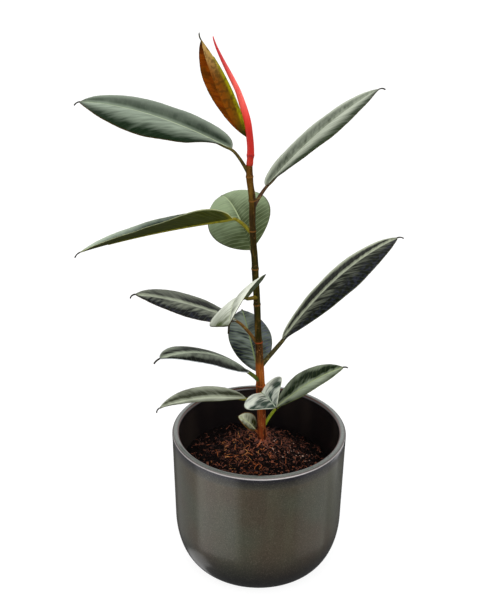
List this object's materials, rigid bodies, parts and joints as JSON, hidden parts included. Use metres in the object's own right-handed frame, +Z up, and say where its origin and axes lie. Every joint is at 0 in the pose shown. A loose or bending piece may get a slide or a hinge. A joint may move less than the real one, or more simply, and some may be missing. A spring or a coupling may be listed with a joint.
{
  "type": "potted rubber plant",
  "caption": "Young rubber plant with broad leathery leaves up a slender stem and a folded new leaf beside its red sheath, growing in soil in a round-footed glazed pot.",
  "frame": {"origin": "centre of the flat underside of the pot, where it rests", "axes": "+Z up along the pot's axis, +X to the right and +Y away from the viewer as in the picture"},
  "size_m": [0.334, 0.2815, 0.5622],
  "materials": {
    "pot_glaze": "satin dark olive-grey glaze, paler along the lip",
    "soil": "loose dark red-brown coir and peat",
    "bark": "smooth orange-brown bark, olive-brown higher up",
    "leaf_green": "waxy dark green leaf with a satin sheen",
    "leaf_pale": "waxy green leaf, pale where it mirrors the light",
    "leaf_bronze": "satin orange-brown and olive young leaf",
    "sheath_red": "soft satin coral-red leaf sheath"
  },
  "bodies": {
    "root": {"pot": "pot_glaze", "soil": "soil", "stem": "bark", "leaf_01": "leaf_green", "leaf_02": "leaf_green", "leaf_03": "leaf_green", "leaf_04": "leaf_green", "leaf_05": "leaf_pale", "leaf_06": "leaf_green", "leaf_07": "leaf_green", "leaf_08": "leaf_green", "leaf_09": "leaf_green", "leaf_10": "leaf_green", "leaf_11": "leaf_green", "leaf_12": "leaf_pale", "leaf_13": "leaf_green", "young_leaf": "leaf_bronze", "sheath": "sheath_red"}
  },
  "joints": []
}
